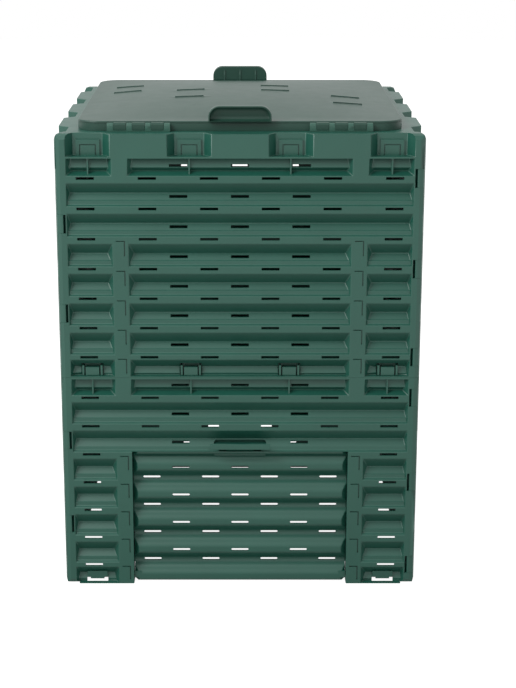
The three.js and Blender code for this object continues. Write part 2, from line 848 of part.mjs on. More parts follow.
addMesh(root, "hatch", hatchPanel(), plasticGreen).position.set(0, -half, 0);
addMesh(root, "hatch_pull", hatchPull(), plasticGreen).position.set(0, -half, 0);
["left", "right"].forEach((name, index) => {
  const side = index === 0 ? -1 : 1;
  const reach = openingHalf + (jambThickness - hatchGap - pinGrip) / 2;
  const pin = addMesh(root, `hatch_pin_${name}`, hatchPin(), plasticGreen);
  pin.position.set(side * reach, pinDepth - half, pinHeight);
});

const rimTop = binHeight + fit;
addMesh(root, "lid", lidShell(), lidGreen).position.set(0, 0, rimTop);
["front", "rear"].forEach((end, index) => {
  const turned = new THREE.Group();
  turned.rotation.z = index * Math.PI;
  turned.position.set(0, 0, rimTop);
  root.add(turned);
  ["left", "right"].forEach((name, order) => {
    const side = (order === 0 ? -1 : 1) * (index === 0 ? 1 : -1);
    addMesh(turned, `hinge_bracket_${end}_${name}`, hingeBracket(side * hingeX), plasticGreen);
    addMesh(turned, `hinge_rod_${end}_${name}`, hingeRod(side * hingeX), plasticGreen);
  });
});

// The origin is the middle of the whole footprint, with the pull that stands out at the front
root.position.set(0, pullProjection / 2, 0);

export default root;
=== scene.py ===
"""A square garden compost bin of moulded plastic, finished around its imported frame."""

import math

import bpy
from mathutils import Matrix, Vector


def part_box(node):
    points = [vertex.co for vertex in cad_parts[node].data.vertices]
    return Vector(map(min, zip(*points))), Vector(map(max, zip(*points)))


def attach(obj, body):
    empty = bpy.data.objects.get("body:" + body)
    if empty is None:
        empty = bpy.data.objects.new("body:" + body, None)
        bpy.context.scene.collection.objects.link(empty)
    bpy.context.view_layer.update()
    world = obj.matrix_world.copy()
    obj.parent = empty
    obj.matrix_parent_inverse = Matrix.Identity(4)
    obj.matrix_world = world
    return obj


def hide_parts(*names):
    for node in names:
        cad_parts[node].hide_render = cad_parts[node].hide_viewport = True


bl_info = {
    "name": "Compost Bin with Lid",
    "version": (1, 0, 0),
    "blender": (4, 5, 0),
    "location": "View3D > Sidebar > Compost Bin",
    "description": "Finishes the walls, hatch, lid and hinges of a slatted compost bin",
    "category": "Object",
}

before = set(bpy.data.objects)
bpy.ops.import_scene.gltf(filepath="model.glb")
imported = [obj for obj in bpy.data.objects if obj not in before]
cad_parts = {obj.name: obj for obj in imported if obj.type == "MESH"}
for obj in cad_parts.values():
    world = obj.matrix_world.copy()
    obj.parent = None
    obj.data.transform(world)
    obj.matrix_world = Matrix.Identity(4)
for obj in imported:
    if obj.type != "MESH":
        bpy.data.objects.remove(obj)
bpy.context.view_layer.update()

# Places read from the frame, in metres
wall_low, wall_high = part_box("wall_lower_back")
BIN_WIDTH = wall_high.x - wall_low.x
MIDDLE = Vector((0.0, wall_high.y - BIN_WIDTH / 2, 0.0))
FRONT = wall_high.y - BIN_WIDTH
PANEL_HEIGHT = wall_high.z
UPPER_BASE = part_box("wall_upper_front")[0].z
QUARTER_TURNS = {"front": 0, "right": 1, "back": 2, "left": 3}

# Points closer than the weld are merged, and measures within the tolerance are equal
MM = 0.001
WELD = 0.02 * MM
TOLERANCE = 0.1 * MM
# How far a tool reaches past what it joins or cuts
OVERLAP = 1 * MM
# Angles between the two faces of an edge
SAME_PLANE = math.radians(0.4)
FOLD_ANGLE = math.radians(14)
SHARP_ANGLE = math.radians(40)
STEEP_ANGLE = math.radians(60)

# How the panels are divided: heights over a panel's foot, places from its middle
ROW_PITCH = 51 * MM
ROW_COUNT = 7
FIRST_ROW = PANEL_HEIGHT - 73 * MM
ROWS = [FIRST_ROW - ROW_PITCH * index for index in range(ROW_COUNT)]
# From this row down the posts part the crests
FIRST_SPLIT_ROW = 2
SLOT_HEIGHT = 4.5 * MM
TROUGH_SLOT_DROP = 32 * MM
HALF_ROW_SLOT_RISE = 20 * MM
# The shelf under the rim, on which the panel above stands
SHELF = UPPER_BASE
SHELF_THICKNESS = 2.7 * MM
CORNER_BAND = 18.5 * MM
SOCKET_PITCH = 167 * MM
SOCKET_CENTRES = [shift * SOCKET_PITCH for shift in (-1.5, -0.5, 0.5, 1.5)]
SOCKET_WIDTH = 73 * MM
SOCKET_DEPTH = 18 * MM
POST_CENTRE = 198.5 * MM
POST_WIDTH = 26 * MM
TAB_WIDTH = 15 * MM
TAB_HEIGHT = 26 * MM
TAB_DROP = 2.6 * MM

# Folds of the skin: heights as shares of the row pitch, depths behind the face
TROUGH_TOP_SHARE = 0.157
TROUGH_FOOT_SHARE = 0.92
HALF_TROUGH_SHARE = 0.08
FOOT_SHARE = 0.088
TROUGH_DEPTH = 14.5 * MM
CREASE_SHARE = 0.55
CREASE_DEPTH = CREASE_SHARE * TROUGH_DEPTH
FOLD_DEPTH_SHARES = (0, 0.29, 0.4, CREASE_SHARE, 0.62, 0.7, 0.9, 1)
FOLD_DEPTHS = [share * TROUGH_DEPTH for share in FOLD_DEPTH_SHARES] + [SOCKET_DEPTH]
SHORTEST_FOLD = 8 * MM
FOLD_END_REACH = 0.3 * MM
# The sheet's thickness at a slot's ends
SHEET_THINNEST, SHEET_THICKEST = 2 * MM, 12 * MM
# Flats are larger than this, and roundings smaller
FLAT_AREA = 40 * MM**2

# Gussets, and the lugs in the windows: each lug's place, width and top over the shelf
GUSSET_FRONT, GUSSET_BACK = 4.5 * MM, 16 * MM
LUG_FRONT, LUG_BACK = 5 * MM, 9 * MM
LUG_RISE = 2.6 * MM
LUG_SIZES = (
    (-15.5 * MM, 3.5 * MM, 20 * MM),
    (0.0, 23 * MM, 17 * MM),
    (15.5 * MM, 3.5 * MM, 20 * MM),
)

# The pads in the rim's sockets, and the hooks in the feet
PAD_WIDTH = 39 * MM
PAD_HEIGHT = 26 * MM
PAD_THICKNESS = 3 * MM
PAD_SINK = 0.5 * MM
LATCH_WIDTH = 27.5 * MM
LATCH_HEIGHT = 18.5 * MM
LATCH_FLOOR = 0.6 * MM
HOOK_WIDTH = 24 * MM
HOOK_DEPTH = 7.5 * MM
HOOK_THICKNESS = 3.5 * MM
HOOK_LOW, HOOK_HIGH = 6.4 * MM, 10.2 * MM

# The pocket in the wall over the hatch, behind the pull: depths behind the face
POCKET_WIDTH = 90 * MM
POCKET_LOW, POCKET_HIGH = 256.5 * MM, 262.5 * MM
POCKET_ROOF_DEPTH = 15 * MM
POCKET_SIDE_DEPTH = 13 * MM
POCKET_FLOOR_DEPTH = 8.2 * MM
POCKET_BACK = 19 * MM
POCKET_WALL = 2 * MM
POCKET_FLOOR = 0.9 * MM
POCKET_CORNER = 5 * MM

# The hatch, with heights over its wall's foot and depths behind the wall's face
hatch_low, hatch_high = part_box("hatch")
HATCH_DEPTH = 20 * MM
HATCH_RELIEF = 14.5 * MM
HATCH_WALL = 3.5 * MM
HATCH_ROW_RISE = 26 * MM
HATCH_ROWS = [ROWS[-1] + HATCH_ROW_RISE + index * ROW_PITCH for index in range(-1, 4)]
# Points of a ridge: height as a share of the row pitch, and how far it stands out
RIDGE_FOLDS = ((0.48, 0), (0.343, 0.62), (0.265, 0.68), (0.137, 1), (-0.108, 1), (-0.382, 0))
# A strip at crest level along the top, the run of the slopes from it and from both ends
HATCH_STRIP = 4 * MM
HATCH_RUN = 8 * MM
# How far the sheet stands out at its very ends
END_RISE = 0.5
# The sheet's grid, with as many columns in the width of each end
SHEET_ROWS = 160
END_COLUMNS = 12
END_WIDTH = 14 * MM
HATCH_VALLEY_DROP = 23 * MM
HATCH_SLOT_PITCH = 102 * MM
HATCH_SLOT_LENGTH = 30 * MM
# The corners are cut off at a slope of one in two
HATCH_CHAMFER = 7 * MM
HATCH_CHAMFER_RUN = 2
SEAT_REACH = 44 * MM
SEAT_LOW = 235 * MM
SEAT_FRONT = 9 * MM
BOSS_SIZE = 12 * MM
BORE_LENGTH = 8.3 * MM
PIN_HEIGHT, PIN_DEPTH, PIN_RADIUS = 15 * MM, 11.5 * MM, 3.5 * MM
# Edges of the pull that stand further out of the wall than this are rounded
PULL_PLAIN_REACH = 2 * MM
PULL_RADIUS = 1 * MM
SHORTEST_PULL_EDGE = 3 * MM

# The lid, its grips and its claws
lid_low, lid_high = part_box("lid")
LID_WIDTH = lid_high.x - lid_low.x
LID_HEIGHT = 16 * MM
LID_CORNER = 38 * MM
LID_WALL = 3 * MM
LID_CROWN = 15 * MM
LID_RIM = 12 * MM
CROWN_STEPS = 24
LID_GROOVE_DEPTH = 1 * MM
LID_GROOVE_HEIGHT = 1.8 * MM
GRIP_WIDTH = 104 * MM
GRIP_HEIGHT = 26 * MM
GRIP_CORNER = 18 * MM
GRIP_DEPTH = 16 * MM
GRIP_PROJECTION = 10 * MM
GRIP_WALL = 2 * MM
GRIP_FLOOR = 1.2 * MM
GRIP_EDGE_RADIUS = 1.2 * MM
GRIP_HOLLOW_RADIUS = 7 * MM
SHORTEST_GRIP_EDGE = 0.5 * MM
# The hollow's back leans forward by this share of its height
GRIP_LEAN = 0.22
GRIP_RIB_WIDTH = 3 * MM
GRIP_RIB_SPACING = 30 * MM
GRIP_RIB_HEIGHT = 1.6 * MM
# The block that ties a grip to the lid's wall: how far its sides, front and back stand in
NECK_SIDE, NECK_FRONT, NECK_BACK = 1.5 * MM, 2 * MM, 1.2 * MM
NECK_HEIGHT = 2 * MM
LOUVRE_LENGTH = 50 * MM
LOUVRE_WIDTH = 7 * MM
LOUVRE_HEIGHT = 2 * MM
LOUVRE_FADE = 0.1 * MM
LOUVRE_SLIT = 1.3 * MM
LOUVRE_SLIT_SHARE = 0.6
# Places of the louvres from the lid's middle, as shares of its width
LOUVRE_SHARES = [
    (-0.379, 0.231), (-0.379, 0.088), (-0.165, 0.035), (-0.165, -0.121),
    (0.117, 0.135), (0.117, 0.006), (0.346, -0.062), (0.346, -0.2),
]
CLAW_WIDTH = 20.6 * MM
CLAW_PITCH = 31 * MM
CLAW_WALL = 2.6 * MM
# The part of the lid's solid that holds the claws, from its skirt, its base and its top
CLAW_ZONE_FRONT = 20 * MM
CLAW_ZONE_DROP = 10 * MM
CLAW_ZONE_TOP = 0.6 * MM
# The claws' lips, from the bracket's foot to over the lid's base
CLAW_LIP_RISE = 2.5 * MM
CLAW_LIP_TOP = 6.5 * MM
# Edges of the claws that stand further out of the skirt than this are rounded
CLAW_PLAIN_REACH = 0.5 * MM
SHORTEST_CLAW_EDGE = 2 * MM
HINGE_RADIUS = 0.6 * MM
BRACKET_STRIP = 2.2 * MM
LID_BASE = lid_high.z - LID_HEIGHT - GRIP_HEIGHT
LID_TOP = LID_BASE + LID_HEIGHT

# The plastics, with the roughness and gloss of each
POLYPROPYLENE_IOR = 1.49
WALL_ROUGHNESS, WALL_GLOSS = 0.42, 0.72
LID_ROUGHNESS, LID_GLOSS = 0.42, 0.44
HINGE_ROUGHNESS, HINGE_GLOSS = 0.4, 0.8
# Noise over the skin: size, detail and roughness. The real 0.1 mm grain is drawn coarser to show
CLOUDS = (90 * MM, 3.0, 0.55)
PATCHES = (25 * MM, 4.0, 0.6)
GRAIN = (1.6 * MM, 2.0, 0.5)
NOISE_LOW, NOISE_HIGH = 0.3, 0.7
CLOUD_DARKEST, CLOUD_LIGHTEST = 0.95, 1.06
PATCH_SMOOTHER, PATCH_DULLER = 0.015, 0.02
GRAIN_STRENGTH, GRAIN_HEIGHT = 0.05, 0.15 * MM

# The stage, in metres
FLOOR_RADIUS = 9
FLOOR_GLOW = 0.95
# Reflections show the floor dimmed by painted shade within the near distance, and white beyond the
# far one
GLOSS_NEAR, GLOSS_FAR = 0.5, 2.4
GLOSS_NEAR_SHARE = 0.3
KEY_PLACE = (-2.1, -1.8, 2.75)
KEY_AIM = (0, 0, 0.45)
KEY_SIZE = 1.6

DISTANCE = {"subtype": "DISTANCE", "unit": "LENGTH"}


class BinShape(bpy.types.PropertyGroup):
    """The fine sizes of the moulding."""

    edge_radius: bpy.props.FloatProperty(
        name="Edge radius",
        description="Rounding of the walls' long edges",
        default=1.2 * MM,
        **DISTANCE,
    )
    slot_radius: bpy.props.FloatProperty(
        name="Slot end radius",
        description="Rounding of the ventilation slots' ends",
        default=0.6 * MM,
        **DISTANCE,
    )
    lid_radius: bpy.props.FloatProperty(
        name="Lid edge radius",
        description="Rounding of the lid's top edge",
        default=2.2 * MM,
        **DISTANCE,
    )
    gusset_width: bpy.props.FloatProperty(
        name="Gusset width",
        description="Thickness of the small ribs under the shelf",
        default=2.4 * MM,
        **DISTANCE,
    )
    ridge_softness: bpy.props.FloatProperty(
        name="Ridge softness",
        description="Reach over which the hatch's folds are drawn smooth",
        default=2.8 * MM,
        **DISTANCE,
    )
    hatch_slot_radius: bpy.props.FloatProperty(
        name="Hatch slot end radius",
        description="Rounding of the hatch's slots' ends",
        default=1.9 * MM,
        **DISTANCE,
    )
    groove_width: bpy.props.FloatProperty(
        name="Groove width",
        description="Width of the grooves round the tabs on the posts",
        default=1.8 * MM,
        **DISTANCE,
    )
    groove_depth: bpy.props.FloatProperty(
        name="Groove depth",
        description="Depth of the grooves round the tabs on the posts",
        default=3 * MM,
        **DISTANCE,
    )


class BinFinish(bpy.types.PropertyGroup):
    """The colours of the plastics, the lid's drawn darker and greyer as painted shade."""

    wall_colour: bpy.props.StringProperty(
        name="Wall colour", description="sRGB hex of the walls' plastic", default="165244"
    )
    # The lid is moulded from the walls' plastic; its colour is drawn darker and greyer, painted
    # shade that keeps its lit top grey
    lid_shaded_colour: bpy.props.StringProperty(
        name="Lid shaded colour", description="sRGB hex of the lid's plastic", default="23463B"
    )
    hinge_colour: bpy.props.StringProperty(
        name="Hinge colour", description="sRGB hex of the hinges' plastic", default="175142"
    )


class BinStudio(bpy.types.PropertyGroup):
    """The stage's camera and lights."""

    floor_colour: bpy.props.StringProperty(
        name="Floor colour", description="sRGB hex of the painted floor", default="B2B2B0"
    )
    lens: bpy.props.FloatProperty(
        name="Lens", description="Focal length on a 36 mm frame", default=90.0, unit="CAMERA"
    )
    camera_height: bpy.props.FloatProperty(
        name="Camera height", description="Height over the ground", default=1.233, unit="LENGTH"
    )
    camera_distance: bpy.props.FloatProperty(
        name="Camera distance", description="From the bin's front", default=2.791, unit="LENGTH"
    )
    camera_pitch: bpy.props.FloatProperty(
        name="Camera pitch",
        description="How far the camera looks down",
        default=math.radians(15.91),
        subtype="ANGLE",
        unit="ROTATION",
    )
    camera_shift: bpy.props.FloatProperty(
        name="Camera shift", description="Sideways shift of the frame", default=0.0262
    )
    key_power: bpy.props.FloatProperty(
        name="Key light", description="Power of the soft light at the upper left", default=80.0
    )
    world_strength: bpy.props.FloatProperty(
        name="Surround light", description="Level of the even light all round", default=0.57
    )


# Selection and editing


def shape():
    """The fine sizes of the moulding that are set in the scene."""
    return bpy.context.scene.bin_shape


def only(piece):
    """Selects one piece alone, in object mode."""
    if bpy.context.object and bpy.context.object.mode != "OBJECT":
        bpy.ops.object.mode_set(mode="OBJECT")
    bpy.ops.object.select_all(action="DESELECT")
    piece.select_set(True)
    bpy.context.view_layer.objects.active = piece


def edit(piece, operator, **settings):
    """Runs one edit mode operator on all of a piece's mesh."""
    only(piece)
    bpy.ops.object.mode_set(mode="EDIT")
    bpy.ops.mesh.select_all(action="SELECT")
    operator(**settings)
    bpy.ops.object.mode_set(mode="OBJECT")


def duplicate(piece, name):
    """A second piece with its own copy of a piece's mesh."""
    twin = bpy.data.objects.new(name, piece.data.copy())
    bpy.context.scene.collection.objects.link(twin)
    return twin


def copy_of(node, name):
    """A copy of a frame node, its loose triangles merged."""
    piece = duplicate(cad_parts[node], name)
    piece.data.name = name
    edit(piece, bpy.ops.mesh.remove_doubles, threshold=WELD)
    return piece


def make_faces_whole(piece):
    """Dissolves the edges inside flat faces."""
    edit(piece, bpy.ops.mesh.dissolve_limited, angle_limit=SAME_PLANE)


def settled():
    """The primitive just added, with its place moved into its mesh."""
    bpy.ops.object.transform_apply(location=True, rotation=True, scale=True)
    return bpy.context.object


def add_block(low, high):
    """A block between two corners."""
    low, high = Vector(low), Vector(high)
    bpy.ops.object.select_all(action="DESELECT")
    bpy.ops.mesh.primitive_cube_add(size=1, location=(low + high) / 2, scale=high - low)
    return settled()


def joined(pieces):
    """Several blocks as one object."""
    only(pieces[0])
    for piece in pieces[1:]:
        piece.select_set(True)
    bpy.ops.object.join()
    return bpy.context.object


def apply_modifier(piece, kind, **settings):
    """Adds one modifier with its settings and applies it."""
    only(piece)
    modifier = piece.modifiers.new(kind.title(), kind)
    for key, value in settings.items():
        setattr(modifier, key, value)
    bpy.ops.object.modifier_apply(modifier=modifier.name)


def combine(piece, tool, operation):
    """Joins a tool to a piece, or cuts it out, and removes the tool."""
    apply_modifier(piece, "BOOLEAN", object=tool, operation=operation, solver="MANIFOLD")
    bpy.data.objects.remove(tool)


def thicken(sheet, shift):
    """Extrudes a sheet by a shift into a slab."""
    edit(sheet, bpy.ops.mesh.extrude_region_move, TRANSFORM_OT_translate={"value": shift})


def turn(piece, quarters):
    """Turns a piece's mesh by quarter turns about the bin's middle."""
    spin = Matrix.Rotation(math.radians(90 * quarters), 4, "Z")
    piece.data.transform(Matrix.Translation(MIDDLE) @ spin @ Matrix.Translation(-MIDDLE))


def near(value, *places, reach=TOLERANCE):
    """Whether a value is within reach of one of the places."""
    return any(abs(value - place) < reach for place in places)


def runs_along(start, end, along):
    """Whether an edge runs along one axis."""
    return all(near(getattr(start, axis), getattr(end, axis)) for axis in "xyz" if axis != along)


def is_sharp(start, end, angle, shortest):
    """Whether an edge is longer than the shortest, and its faces meet at a sharp angle."""
    return angle > SHARP_ANGLE and (end - start).length > shortest


def mark_edges(piece, pick):
    """Marks for the bevel each edge that pick accepts: pick(start, end, angle between faces)."""
    mesh = piece.data
    faces_at = {}
    for face in mesh.polygons:
        for key in face.edge_keys:
            faces_at.setdefault(key, []).append(face.normal)
    weights = mesh.attributes.get("bevel_weight_edge")
    if weights is None:
        weights = mesh.attributes.new("bevel_weight_edge", "FLOAT", "EDGE")
    for edge in mesh.edges:
        normals = faces_at.get(edge.key, [])
        chosen = False
        if len(normals) == 2:
            angle = normals[0].angle(normals[1], 0.0)
            start, end = (mesh.vertices[index].co for index in edge.vertices)
            chosen = pick(start, end, angle)
        weights.data[edge.index].value = 1.0 if chosen else 0.0


def round_edges(piece, pick, radius, segments):
    """Rounds the edges that pick accepts."""
    mark_edges(piece, pick)
    apply_modifier(
        piece,
        "BEVEL",
        width=radius,
        segments=segments,
        limit_method="WEIGHT",
        use_clamp_overlap=False,
        miter_outer="MITER_SHARP",
    )
    marks = piece.data.attributes.get("bevel_weight_edge")
    if marks:
        piece.data.attributes.remove(marks)


def shade(piece, angle=30):
    """Smooth shading over faces that meet at less than an angle in degrees, flats kept flat."""
    only(piece)
    bpy.ops.object.shade_smooth_by_angle(angle=math.radians(angle))
    apply_modifier(piece, "WEIGHTED_NORMAL", mode="FACE_AREA", weight=50, keep_sharp=True)


def shade_flat_sheets(piece):
    """Smooth shading over the rounded edges, flat shading over the flats between them."""
    only(piece)
    bpy.ops.object.shade_smooth_by_angle(angle=math.radians(30))
    for face in piece.data.polygons:
        face.use_smooth = face.area < FLAT_AREA


def hand_over(piece, node, body, slot):
    """Gives a finished piece its plastic, and puts it in its node's place."""
    piece.data.materials.clear()
    piece.data.materials.append(plastics()[slot])
    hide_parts(node)
    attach(piece, body)


# Materials


def linear(hex_code):
    """An sRGB hex colour as linear RGBA."""
    values = [int(hex_code[start : start + 2], 16) / 255 for start in (0, 2, 4)]
    shares = [v / 12.92 if v <= 0.04045 else ((v + 0.055) / 1.055) ** 2.4 for v in values]
    return (*shares, 1.0)


def add_node(tree, kind, settings=None, inputs=None, links=None):
    """A shader node with its settings, socket values and incoming links."""
    node = tree.nodes.new(kind)
    for key, value in (settings or {}).items():
        setattr(node, key, value)
    for key, value in (inputs or {}).items():
        node.inputs[key].default_value = value
    for key, socket in (links or {}).items():
        tree.links.new(socket, node.inputs[key])
    return node


def moulded_polypropylene(name, hex_code, roughness, gloss):
    """Recycled polypropylene, injection moulded in a spark-eroded tool.

    It gives the eye a satin skin: even colour with faint flow clouds, a fine grain that softens
    every highlight, and slightly duller patches where it has been handled.
    """
    material = bpy.data.materials.new(name)
    material.use_nodes = True
    tree = material.node_tree
    tree.nodes.clear()
    place = add_node(tree, "ShaderNodeTexCoord").outputs["Object"]
    base = linear(hex_code)
    clouds, patches, grain = (
        add_node(
            tree,
            "ShaderNodeTexNoise",
            inputs={"Scale": 1 / size, "Detail": detail, "Roughness": share},
            links={"Vector": place},
        ).outputs["Fac"]
        for size, detail, share in (CLOUDS, PATCHES, GRAIN)
    )
    tone = add_node(tree, "ShaderNodeValToRGB", links={"Fac": clouds})
    stops = ((NOISE_LOW, CLOUD_DARKEST), (NOISE_HIGH, CLOUD_LIGHTEST))
    for element, (position, level) in zip(tone.color_ramp.elements, stops):
        element.position = position
        element.color = (*[value * level for value in base[:3]], 1.0)
    dullness = add_node(
        tree,
        "ShaderNodeMapRange",
        inputs={
            "From Min": NOISE_LOW,
            "From Max": NOISE_HIGH,
            "To Min": roughness - PATCH_SMOOTHER,
            "To Max": roughness + PATCH_DULLER,
        },
        links={"Value": patches},
    )
    relief = add_node(
        tree,
        "ShaderNodeBump",
        inputs={"Strength": GRAIN_STRENGTH, "Distance": GRAIN_HEIGHT},
        links={"Height": grain},
    )
    skin = add_node(
        tree,
        "ShaderNodeBsdfPrincipled",
        inputs={"IOR": POLYPROPYLENE_IOR, "Specular IOR Level": gloss},
        links={
            "Base Color": tone.outputs["Color"],
            "Roughness": dullness.outputs["Result"],
            "Normal": relief.outputs["Normal"],
        },
    )
    add_node(tree, "ShaderNodeOutputMaterial", links={"Surface": skin.outputs["BSDF"]})
    return material


def plastics():
    """The material of each slot, made once."""
    look = bpy.context.scene.bin_finish
    kinds = {
        "wall_plastic": ("walls", look.wall_colour, WALL_ROUGHNESS, WALL_GLOSS),
        # The lid's colour carries painted shade over the walls' green
        "lid_plastic": ("lid", look.lid_shaded_colour, LID_ROUGHNESS, LID_GLOSS),
        "hinge_plastic": ("hinges", look.hinge_colour, HINGE_ROUGHNESS, HINGE_GLOSS),
    }
    made = {}
    for slot, (part, *values) in kinds.items():
        name = f"moulded polypropylene, {part}"
        made[slot] = bpy.data.materials.get(name) or moulded_polypropylene(name, *values)
    return made


# Wall panels


def slot_heights():
    """Heights of all slot centres over a panel's foot."""
    between = [row + ROW_PITCH - TROUGH_SLOT_DROP for row in ROWS[1:]]
    return ROWS + between + [FIRST_ROW + HALF_ROW_SLOT_RISE]


def round_slots(piece, base):
    """Rounds the ends of every slot: the short edges that run straight through the sheet."""
    ends = [base + z + side * SLOT_HEIGHT / 2 for z in slot_heights() for side in (-1, 1)]

    def through_slot(start, end, angle):
        across = abs(start.x - end.x) + abs(start.z - end.z)
        return (
            across < WELD
            and SHEET_THINNEST < abs(start.y - end.y) < SHEET_THICKEST
            and near(start.z, *ends)
            and angle > STEEP_ANGLE
        )

    round_edges(piece, through_slot, shape().slot_radius, segments=2)


def round_folds(piece, base):
    """Rounds the folds of a panel's outer skin: the edges of its crests, troughs and sockets."""
    trough_shares = (TROUGH_TOP_SHARE, TROUGH_FOOT_SHARE)
    levels = [row - share * ROW_PITCH for row in ROWS[:-1] for share in trough_shares]
    levels += [FIRST_ROW + HALF_TROUGH_SHARE * ROW_PITCH, ROWS[-1] - FOOT_SHARE * ROW_PITCH]
    levels = [base + level for level in levels]
    reach = BIN_WIDTH / 2
    ends = [side * (reach - CORNER_BAND) for side in (-1, 1)]
    ends += [side * (POST_CENTRE + post * POST_WIDTH / 2) for side in (-1, 1) for post in (-1, 1)]
    ends += [x + side * SOCKET_WIDTH / 2 for x in SOCKET_CENTRES for side in (-1, 1)]

    def outer_fold(start, end, angle):
        if angle < FOLD_ANGLE or (end - start).length < SHORTEST_FOLD:
            return False
        if base < UPPER_BASE and max(start.z, end.z) > base + SHELF + OVERLAP:
            return False
        depths = [point.y - FRONT for point in (start, end)]
        if not all(near(depth, *FOLD_DEPTHS) for depth in depths):
            return False
        if not all(near(depth, 0.0) for depth in depths):
            return not all(near(depth, CREASE_DEPTH) for depth in depths)
        if near(start.z, end.z):
            return near(start.z, *levels)
        return near(start.x, *ends, reach=FOLD_END_REACH) and near(start.x, end.x)

    round_edges(piece, outer_fold, shape().edge_radius, segments=3)
    # Where the rounding of two folds meets, no point may stand out of the face
    for vertex in piece.data.vertices:
        vertex.co.y = max(vertex.co.y, FRONT)


def gussets(base):
    """Small upright ribs that prop the shelf over the first row."""
    half = shape().gusset_width / 2
    ribs = [
        add_block(
            (x - half, FRONT + GUSSET_FRONT, base + FIRST_ROW + OVERLAP),
            (x + half, FRONT + GUSSET_BACK, base + SHELF - SHELF_THICKNESS / 2),
        )
        for x in SOCKET_CENTRES
    ]
    return joined(ribs)


def post_grooves(base):
    """The grooves along the top and the right side of the tabs moulded on each post."""
    width = shape().groove_width
    outside, floor = FRONT - OVERLAP, FRONT + shape().groove_depth
    tops, sides = [], []
    for side in (-1, 1):
        left = side * POST_CENTRE - TAB_WIDTH / 2
        right = left + TAB_WIDTH
        inner = right - width
        for row in ROWS[FIRST_SPLIT_ROW:]:
            top = base + row - TAB_DROP
            low = top - width
            tops.append(add_block((left, outside, low), (right, floor, top)))
            middle = (low + top) / 2
            sides.append(add_block((inner, outside, top - TAB_HEIGHT), (right, floor, middle)))
    return joined(tops), joined(sides)


def socket_pads(base):
    """The pads on the back walls of the rim's sockets, and the latch grooves cut in them."""
    back = FRONT + SOCKET_DEPTH
    front, behind = back - PAD_THICKNESS, back + OVERLAP
    outside, floor = front - OVERLAP, back - LATCH_FLOOR
    shelf = base + SHELF
    latch_top = shelf + LATCH_HEIGHT
    groove = shape().groove_width
    leg_top = latch_top - groove / 2
    low, high = shelf - PAD_SINK, shelf + PAD_HEIGHT
    reach = PAD_WIDTH / 2
    pads, legs, bars = [], [], []
    for x in SOCKET_CENTRES:
        left, right = x - LATCH_WIDTH / 2, x + LATCH_WIDTH / 2
        pads.append(add_block((x - reach, front, low), (x + reach, behind, high)))
        legs.append(add_block((left, outside, shelf), (left + groove, floor, leg_top)))
        legs.append(add_block((right - groove, outside, shelf), (right, floor, leg_top)))
        bars.append(add_block((left, outside, latch_top - groove), (right, floor, latch_top)))
    return joined(pads), joined(legs), joined(bars)


def lug_fronts():
    """The fronts of the lugs that stand in the windows of the panel above."""
    lugs = [
        add_block(
            (x + shift - width / 2, FRONT + LUG_FRONT, SHELF + LUG_RISE),
            (x + shift + width / 2, FRONT + LUG_BACK, SHELF + height),
        )
        for x in SOCKET_CENTRES
        for shift, width, height in LUG_SIZES
    ]
    return joined(lugs)


def foot_hooks(centres):
    """The hooks that show in the foot windows."""
    hooks = [
        add_block(
            (x - HOOK_WIDTH / 2, FRONT + HOOK_DEPTH, HOOK_LOW),
            (x + HOOK_WIDTH / 2, FRONT + HOOK_DEPTH + HOOK_THICKNESS, HOOK_HIGH),
        )
        for x in centres
    ]
    return joined(hooks)


def arched_block(low, high, radius):
    """A block whose two upper edges from front to back are rounded to an arch."""
    piece = add_block(low, high)

    def upper(start, end, angle):
        return runs_along(start, end, "y") and near(start.z, high[2])

    round_edges(piece, upper, radius, segments=8)
    return piece


def add_pull_pocket(panel):
    """The dark finger pocket behind the pull: a closed shell behind the sheet, then its hollow."""
    half = POCKET_WIDTH / 2
    outer = half + POCKET_WALL
    low, high = POCKET_LOW - POCKET_FLOOR, POCKET_HIGH + POCKET_WALL
    inner_back = FRONT + POCKET_BACK
    back = inner_back + POCKET_WALL
    body = add_block((-outer, FRONT + POCKET_ROOF_DEPTH, low), (outer, back, high))
    combine(panel, body, "UNION")
    floor = add_block((-outer, FRONT + POCKET_FLOOR_DEPTH, low), (outer, back, POCKET_LOW))
    combine(panel, floor, "UNION")
    sides = []
    for side in (-1, 1):
        left, right = sorted((side * half, side * outer))
        sides.append(add_block((left, FRONT + POCKET_SIDE_DEPTH, low), (right, back, high)))
    combine(panel, joined(sides), "UNION")
    mouth = (-half, FRONT + OVERLAP, POCKET_LOW)
    hollow = arched_block(mouth, (half, inner_back, POCKET_HIGH), POCKET_CORNER)
    combine(panel, hollow, "DIFFERENCE")


def dress_panel(node, name):
    """One panel with its gussets, tabs, pads and rounded edges, standing at the front."""
    upper = node.startswith("wall_upper")
    base = UPPER_BASE if upper else 0.0
    piece = copy_of(node, name)
    if node.endswith("back"):
        turn(piece, QUARTER_TURNS["back"])
    combine(piece, gussets(base), "UNION")
    make_faces_whole(piece)
    round_slots(piece, base)
    round_folds(piece, base)
    for tool in post_grooves(base):
        combine(piece, tool, "DIFFERENCE")
    if upper:
        pads, legs, bars = socket_pads(base)
        combine(piece, pads, "UNION")
        combine(piece, legs, "DIFFERENCE")
        combine(piece, bars, "DIFFERENCE")
    else:
        # Beside the hatch only the two outer feet have room for a hook
        has_hatch = node == "wall_lower_front"
        centres = (SOCKET_CENTRES[0], SOCKET_CENTRES[-1]) if has_hatch else SOCKET_CENTRES
        combine(piece, foot_hooks(centres), "UNION")
        combine(piece, lug_fronts(), "UNION")
    return piece


def stand_round(model, tier, sides):
    """Stands copies of a panel that is modelled at the front on some of the bin's sides."""
    for side in sides:
        piece = duplicate(model, f"{tier}_wall_{side}")
        turn(piece, QUARTER_TURNS[side])
        shade_flat_sheets(piece)
        hand_over(piece, f"wall_{tier}_{side}", "bin", "wall_plastic")
    bpy.data.objects.remove(model)


